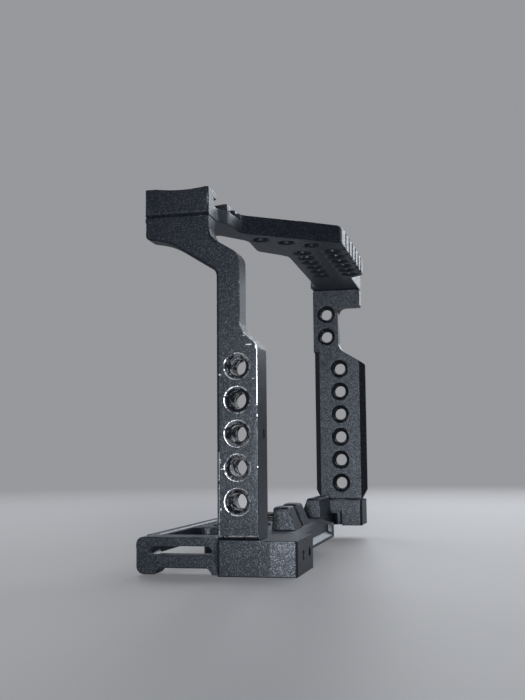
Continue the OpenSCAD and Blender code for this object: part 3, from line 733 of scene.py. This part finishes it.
def postEdges(shape):
    # the near face's edge along the rear of the post, neck and head, and the head's rear corner
    found = []
    for edge in shape.edges:
        if len(edge.link_faces) == 2 and onNearFace(edge):
            other = min(edge.link_faces, key=lambda face: abs(face.normal.x))
            behind = min(vert.co.y for vert in edge.verts) > rearEdge["behindY"] * mm
            above = min(vert.co.z for vert in edge.verts) > baseTopZ + rearEdge["aboveFoot"] * mm
            turned = abs(other.normal.x) < rearEdge["sideways"]
            if behind and above and turned and other.normal.z < rearEdge["upward"]:
                found.append(edge)
    return found


ribbedEdge = {
    "faceHeight": 6.0,  # millimetres
    "cornerX": -22.4,
    "cornerReach": 1.5,
    "near": 0.05,
    "angle": 0.7,  # radians
}


def plateFrontEdges(shape):
    # the rounded top of the top plate's ribbed front edge, and of the corner before its first rib
    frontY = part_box("top_plate")[0].y
    faceZ = topZ + ribbedEdge["faceHeight"] * mm
    near = ribbedEdge["near"] * mm
    found = []
    for edge in shape.edges:
        if len(edge.link_faces) == 2 and edge.calc_face_angle(0) > ribbedEdge["angle"]:
            spots = [vert.co for vert in edge.verts]
            level = all(abs(spot.z - faceZ) < near for spot in spots)
            front = all(spot.y < frontY + near for spot in spots)
            corner = all(spot.x < ribbedEdge["cornerX"] * mm
                         and spot.y < frontY + ribbedEdge["cornerReach"] * mm for spot in spots)
            if level and (front or corner):
                found.append(edge)
    return found


postWear = {
    "rim": 0.70,
    "rimFrom": 3.3,  # millimetres from a hole's middle
    "rimTo": 4.0,
    "cone": 0.56,
    "flat": 0.95,  # faces that look along the hole more than this aren't its cone
    "depth": 1.2,  # millimetres behind the near face
    "edgeDepth": 0.32,
}


def wearPost(shape, layer):
    # edges and rims of the nearest upright, polished by use
    holes = [Vector(mount["pos_m"]) for name, mount in mounts.items()
             if name.startswith("post_hole")]
    for face in shape.faces:
        middle = face.calc_center_median()
        if middle.x > nearX + postWear["depth"] * mm:
            continue
        y, z = middle.y / mm, middle.z / mm
        edge = face.loops[0][layer] > 0
        amount = None
        away = min(math.hypot(middle.y - hole.y, middle.z - hole.z) for hole in holes) / mm
        if away < postWear["rimTo"]:
            if edge and away > postWear["rimFrom"]:
                amount = postWear["rim"]
            elif abs(face.normal.x) < postWear["flat"]:
                amount = postWear["cone"]
        elif edge and middle.x < nearX + postWear["edgeDepth"] * mm:
            amount = max([worn for (y0, y1), (z0, z1), worn in edgeWear
                          if y0 < y < y1 and z0 < z < z1], default=None)
        if amount is not None:
            for loop in face.loops:
                loop[layer] = amount


members = {
    # node: edge width in millimetres, wear of its edges
    "base_plate": (0.30, 0.20),
    "grip_post": (0.26, 0.50),
    "top_plate": (0.30, 0.14),
    "side_plate": (0.28, 0.14),
    "near_lip": (0.25, 0.10),
    "mid_lip": (0.25, 0.10),
    "far_lip": (0.25, 0.10),
}
memberEdge = {"segments": 2}
broadEdge = {"segments": 3, "wear": 0.10, "width": 0.9}
broadEdges = {"grip_post": postEdges, "top_plate": plateFrontEdges}


def makeMember(node, width, wear):
    shape = cleanCopy(node)
    tree = BVHTree.FromBMesh(shape)
    reach = breaking["reach"] * width * mm
    if node in broadEdges:
        reach = breaking["reach"] * broadEdge["width"] * mm
        shape = broken(shape, broadEdges[node], broadEdge["width"] * mm, broadEdge["segments"],
                       broadEdge["wear"], tree, reach)
    shape = broken(shape, sharpEdges, width * mm, memberEdge["segments"], wear, tree, reach)
    if node == "grip_post":
        wearPost(shape, shape.loops.layers.float["wear"])
    name = camelName(node)
    piece = place(name, toMesh(shape, name), "anodised", "black_anodised", (node,))
    levelFaces(piece)
    print("edges broken:", node, len(piece.data.polygons), "faces")


for node, (width, wear) in members.items():
    makeMember(node, width, wear)


thread = {
    "pitch": 1.27,  # 20 to the inch
    "coarsePitch": 1.5875,  # 16 to the inch, for the 3/8 inch hole
    "depth": 0.30,
    "steps": 30,
    # out of the bore's wall in millimetres, and along the axis as a share of the pitch
    "section": ((0.10, -0.44), (0.0, -0.10), (0.0, 0.10), (0.10, 0.44)),
    "fill": 0.98,
    "runOut": 2.5,  # how fast the ridge grows from its ends, a turn
    "startDepth": 0.04,
    "shorter": 0.3,  # millimetres shorter than its hole
}


def addHelix(shape, centre, axis, radius, length, pitch, depth, outward=False):
    # one closed thread ridge round an axis; it runs out to nothing at both ends
    steps = thread["steps"]
    count = int(length / pitch * steps)
    sideways = axis.orthogonal().normalized()
    upward = axis.cross(sideways)
    sign = -1 if outward else 1
    runOut, startDepth = thread["runOut"], thread["startDepth"]
    rings = []
    for i in range(count + 1):
        angle = 2 * math.pi * i / steps
        direction = sideways * math.cos(angle) + upward * math.sin(angle)
        grown = min(1.0, runOut * i / steps + startDepth, runOut * (count - i) / steps + startDepth)
        along = length * (i / count - 0.5)
        ring = []
        for root, shift in thread["section"]:
            out = sign * root * mm if root else -sign * depth * grown
            height = along + shift * pitch * thread["fill"]
            ring.append(shape.verts.new(centre + direction * (radius + out) + axis * height))
        rings.append(ring)
    sides = len(thread["section"])
    for a, b in zip(rings, rings[1:]):
        for k in range(sides):
            shape.faces.new((a[k], a[(k + 1) % sides], b[(k + 1) % sides], b[k]))
    shape.faces.new(rings[0])
    shape.faces.new(rings[-1])


threadSets = {
    # piece: mounts whose names start so, finish
    "postThreads": (("post_hole",), "bareThread"),
    "sideThreads": (("rail_hole", "side_upper"), "darkThread"),
    "topThreads": (("slant_hole", "grid_hole"), "darkThread"),
    "baseThreads": (("tripod_",), "darkThread"),
}


def makeThreads(name, starts, finish):
    shape = bmesh.new()
    for mountName, mount in mounts.items():
        if mountName.startswith(starts):
            radius = mount["dims"]["r_mm"] * mm
            length = mount["dims"]["length_mm"] * mm - thread["shorter"] * mm
            pitch = thread["coarsePitch"] if "eighths" in mountName else thread["pitch"]
            addHelix(shape, Vector(mount["pos_m"]), Vector(mount["axis"]), radius, length,
                     pitch * mm, thread["depth"] * mm)
    place(name, toMesh(shape, name), finish, "black_anodised")
    print("threads cut:", name)


for name, (starts, finish) in threadSets.items():
    makeThreads(name, starts, finish)


def hexagon(acrossFlats):
    # radius of a hexagon by angle
    def radius(angle):
        return acrossFlats / 2 / math.cos((angle % (math.pi / 3)) - math.pi / 6)
    return radius


def knurl(radius, teeth, depth):
    def wave(angle):
        return radius - depth * (0.5 + 0.5 * math.cos(teeth * angle))
    return wave


sidesOf = {"screw": 72, "dowel": 40, "cameraScrew": 192, "washer": 96}


def addLoft(shape, matrix, rings, count):
    # closed solid through rings of (radius or radius by angle, height), all in millimetres
    made = []
    for radius, height in rings:
        ring = []
        for i in range(count):
            angle = 2 * math.pi * i / count
            out = radius(angle) if callable(radius) else radius
            spot = Vector((out * math.cos(angle), out * math.sin(angle), height)) * mm
            ring.append(shape.verts.new(matrix @ spot))
        made.append(ring)
    for a, b in zip(made, made[1:]):
        for i in range(count):
            j = (i + 1) % count
            shape.faces.new((a[i], a[j], b[j], b[i]))
    shape.faces.new(made[0])
    shape.faces.new(made[-1])


def standing(x, y, z):
    return Matrix.Translation((x, y, z))


def hanging(x, y, z):
    return Matrix.Translation((x, y, z)) @ Matrix.Rotation(math.pi, 4, "X")


# In the screws, a pair is how far a ring lies inside the radius, and its height, in millimetres.
capScrew = {
    "headHeight": 2.8,
    "socketDepth": 1.6, "socketLead": 0.15, "socketDish": 0.34,
    "face": ((0.35, 0.0), (0.10, 0.12)),
    "knurlTeeth": 36, "knurlDepth": 0.08, "knurlLow": 0.40, "knurlHigh": 0.25,
    "headEdge": 0.12,
    "point": 0.4,
}
flatScrew = {
    "socketShare": 0.9,  # socket's depth as a share of the cone's
    "socketLead": 0.10, "socketDish": 0.26,
    "face": ((0.16, 0.0), (0.04, 0.12)),
    "neck": 0.02, "shankGap": 0.04, "shankStart": 0.1,
    "point": (0.4, 0.35),
}


def capScrewRings(radius, shank, socketWidth, length):
    # head down at z = 0, shank upward
    size = capScrew
    head = size["headHeight"]
    flutes = knurl(radius, size["knurlTeeth"], size["knurlDepth"])
    socket = hexagon(socketWidth)
    return [(socket, size["socketDepth"]), (socket, size["socketLead"]),
            (socketWidth / 2 + size["socketDish"], 0.0),
            *((radius - inside, height) for inside, height in size["face"]),
            (flutes, size["knurlLow"]), (flutes, head - size["knurlHigh"]),
            (radius - size["headEdge"], head), (shank, head),
            (shank, length - size["point"]), (shank - size["point"], length)]


def flatScrewRings(radius, shank, socketWidth, length):
    # head down at z = 0, shank upward
    size = flatScrew
    cone = radius - shank
    socket = hexagon(socketWidth)
    thin = shank - size["shankGap"]
    pointInside, pointLength = size["point"]
    return [(socket, cone * size["socketShare"]), (socket, size["socketLead"]),
            (socketWidth / 2 + size["socketDish"], 0.0),
            *((radius - inside, height) for inside, height in size["face"]),
            (shank + size["neck"], cone), (thin, cone + size["shankStart"]),
            (thin, length - pointLength), (shank - pointInside, length)]


screwSets = {
    # node: rings, head up or down, shank radius, socket across flats, in millimetres
    "post_foot_screws": (capScrewRings, "down", 1.42, 2.5),
    "side_foot_screws": (capScrewRings, "down", 1.42, 2.5),
    "post_head_screws": (flatScrewRings, "up", 1.5, 2.0),
    "side_head_screws": (flatScrewRings, "up", 1.5, 2.0),
    "near_lip_screws": (flatScrewRings, "down", 1.25, 1.6),
    "mid_lip_screws": (flatScrewRings, "down", 1.25, 1.6),
    "far_lip_screws": (flatScrewRings, "down", 1.25, 1.6),
}


def makeScrews(node, ringsOf, way, shank, socketWidth):
    shape = bmesh.new()
    for low, high in looseBoxes(node):
        middle = (low + high) / 2
        radius = (high.x - low.x) / 2 / mm
        length = (high.z - low.z) / mm
        if way == "up":
            matrix = hanging(middle.x, middle.y, high.z)
        else:
            matrix = standing(middle.x, middle.y, low.z)
        addLoft(shape, matrix, ringsOf(radius, shank, socketWidth, length), sidesOf["screw"])
    name = camelName(node)
    place(name, toMesh(shape, name), "blackSteel", "black_steel", (node,))


for node, options in screwSets.items():
    makeScrews(node, *options)

dowelChamfer = 0.25
dowels = ("post_foot_dowel", "post_head_dowel", "side_foot_dowel", "side_head_dowel")


def makeDowel(node):
    shape = bmesh.new()
    for low, high in looseBoxes(node):
        middle = (low + high) / 2
        radius = (high.x - low.x) / 2 / mm
        length = (high.z - low.z) / mm
        rings = [(radius - dowelChamfer, 0.0), (radius, dowelChamfer),
                 (radius, length - dowelChamfer), (radius - dowelChamfer, length)]
        addLoft(shape, standing(middle.x, middle.y, low.z), rings, sidesOf["dowel"])
    name = camelName(node)
    place(name, toMesh(shape, name), "steel", "steel", (node,))


for node in dowels:
    makeDowel(node)

lockScrew = {"socket": 1.5, "socketDepth": 0.9, "socketLead": 0.10, "socketDish": 0.2, "edge": 0.18}


def makeLockScrew():
    low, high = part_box("post_lock_screw")
    middle = (low + high) / 2
    radius = (high.x - low.x) / 2 / mm
    length = (high.y - low.y) / mm
    socket = hexagon(lockScrew["socket"])
    edge = lockScrew["edge"]
    rings = [(socket, lockScrew["socketDepth"]), (socket, lockScrew["socketLead"]),
             (lockScrew["socket"] / 2 + lockScrew["socketDish"], 0.0),
             (radius - edge, 0.0), (radius, edge), (radius, length - edge), (radius - edge, length)]
    inward = (Matrix.Translation((middle.x, low.y, middle.z))
              @ Matrix.Rotation(-math.pi / 2, 4, "X"))
    shape = bmesh.new()
    addLoft(shape, inward, rings, sidesOf["screw"])
    place("postLockScrew", toMesh(shape, "postLockScrew"), "steel", "steel", ("post_lock_screw",))


makeLockScrew()
print("screws and dowels turned")

cameraScrew = {
    # heights above the head's lower face and radii, in millimetres
    "headHeight": 2.6,
    "socket": 4.6, "socketDepth": 2.0, "socketLead": 0.2, "socketDish": 0.6,
    "face": ((1.3, 0.0), (1.2, 0.15), (0.7, 0.15), (0.3, 0.21)),
    "knurlTeeth": 64, "knurlDepth": 0.16, "knurlInside": 0.02, "knurlLow": 0.45, "knurlHigh": 2.3,
    "shoulder": ((0.2, 2.52), (0.4, 2.6)),
    "neck": 2.8, "groove": 2.4, "grooveLow": 6.5, "grooveHigh": 7.4,
    "core": 2.62, "threadLow": 7.95, "threadLead": 0.15, "threadDepth": 0.45,
    "tip": 0.7, "tipInside": 0.6,
    "slotLength": 20, "slotWidth": 1.8, "slotDepth": 1.2,
}


def cameraScrewRings(radius, length):
    size = cameraScrew
    flutes = knurl(radius - size["knurlInside"], size["knurlTeeth"], size["knurlDepth"])
    socket = hexagon(size["socket"])
    neck, groove, core = size["neck"], size["groove"], size["core"]
    return [(socket, size["socketDepth"]), (socket, size["socketLead"]),
            (size["socket"] / 2 + size["socketDish"], 0.0),
            *((radius - inside, height) for inside, height in size["face"]),
            (flutes, size["knurlLow"]), (flutes, size["knurlHigh"]),
            *((radius - inside, height) for inside, height in size["shoulder"]),
            (neck, size["headHeight"]), (neck, size["grooveLow"]),
            (groove, size["grooveLow"]), (groove, size["grooveHigh"]),
            (neck, size["grooveHigh"]), (neck, size["threadLow"] - size["threadLead"]),
            (core, size["threadLow"]), (core, length - size["tip"]),
            (core - size["tipInside"], length)]


def withCoinSlot(shape, middle, lowZ):
    # the same shape with a slot cut across the underside of its head
    size = cameraScrew
    whole = bpy.data.objects.new("cameraScrewWhole", toMesh(shape, "cameraScrewWhole"))
    cutter = bmesh.new()
    across = Matrix.Diagonal((size["slotLength"] * mm, size["slotWidth"] * mm,
                              2 * size["slotDepth"] * mm, 1))
    bmesh.ops.create_cube(cutter, size=1.0, matrix=standing(middle.x, middle.y, lowZ) @ across)
    tool = bpy.data.objects.new("slotCutter", bpy.data.meshes.new("slotCutter"))
    cutter.to_mesh(tool.data)
    cutter.free()
    for each in (whole, tool):
        bpy.context.scene.collection.objects.link(each)
    cut = whole.modifiers.new("coinSlot", "BOOLEAN")
    cut.operation = "DIFFERENCE"
    cut.solver = "EXACT"
    cut.object = tool
    bpy.context.view_layer.update()
    graph = bpy.context.evaluated_depsgraph_get()
    slotted = bpy.data.meshes.new_from_object(whole.evaluated_get(graph))
    bpy.data.objects.remove(whole)
    bpy.data.objects.remove(tool)
    result = bmesh.new()
    result.from_mesh(slotted)
    return result


def makeCameraScrew():
    size = cameraScrew
    low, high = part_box("camera_screw")
    middle = (low + high) / 2
    radius = (high.x - low.x) / 2 / mm
    length = (high.z - low.z) / mm
    shape = bmesh.new()
    addLoft(shape, standing(middle.x, middle.y, low.z), cameraScrewRings(radius, length),
            sidesOf["cameraScrew"])
    shape = withCoinSlot(shape, middle, low.z)
    threadLength = (length - size["tip"] - size["threadLow"]) * mm
    centre = Vector((middle.x, middle.y, low.z + size["threadLow"] * mm + threadLength / 2))
    addHelix(shape, centre, Vector((0, 0, 1)), size["core"] * mm, threadLength,
             thread["pitch"] * mm, size["threadDepth"] * mm, True)
    place("cameraScrew", toMesh(shape, "cameraScrewTurned"), "steel", "steel",
          ("camera_screw",), "screw")
    print("camera screw turned")


makeCameraScrew()

washer = {
    "edge": 0.12,
    "boreGap": 0.05,
    "seatGap": 0.02,  # the washer stops this far below the web when the screw is up
}


def makeWasher():
    low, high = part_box("camera_screw_washer")
    middle = (low + high) / 2
    outer = (high.x - low.x) / 2 / mm
    thick = (high.z - low.z) / mm - washer["seatGap"]
    inner = cameraScrew["neck"] + washer["boreGap"]
    edge = washer["edge"]
    profile = [(inner, edge), (inner + edge, 0.0), (outer - edge, 0.0), (outer, edge),
               (outer, thick - edge), (outer - edge, thick), (inner + edge, thick),
               (inner, thick - edge)]
    shape = bmesh.new()
    count = sidesOf["washer"]
    rings = []
    for radius, height in profile:
        ring = []
        for i in range(count):
            angle = 2 * math.pi * i / count
            ring.append(shape.verts.new((middle.x + radius * mm * math.cos(angle),
                                         middle.y + radius * mm * math.sin(angle),
                                         low.z + height * mm)))
        rings.append(ring)
    for a, b in zip(rings, rings[1:] + rings[:1]):
        for i in range(count):
            j = (i + 1) % count
            shape.faces.new((a[i], a[j], b[j], b[i]))
    place("cameraScrewWasher", toMesh(shape, "cameraScrewWasher"), "whitePlastic",
          "white_plastic", ("camera_screw_washer",), "screw")
    print("washer turned")


makeWasher()

softEdge = {"segments": 3, "wear": 0.0}
softPieces = {
    # node: edge width in millimetres, finish, slot, body
    "camera_screw_clip": (0.10, "steel", "steel", "clip"),
    "base_pad_near": (0.22, "rubber", "rubber", "cage"),
    "base_pad_far": (0.22, "rubber", "rubber", "cage"),
}


def makeSoftEdged(node, width, finish, slot, body):
    shape = cleanCopy(node)
    tree = BVHTree.FromBMesh(shape)
    shape = broken(shape, everySharpEdge, width * mm, softEdge["segments"], softEdge["wear"],
                   tree, breaking["reach"] * width * mm)
    name = camelName(node)
    piece = place(name, toMesh(shape, name), finish, slot, (node,), body)
    levelFaces(piece)
    print("edges softened:", node)


for node, options in softPieces.items():
    makeSoftEdged(node, *options)

print("all pieces placed")
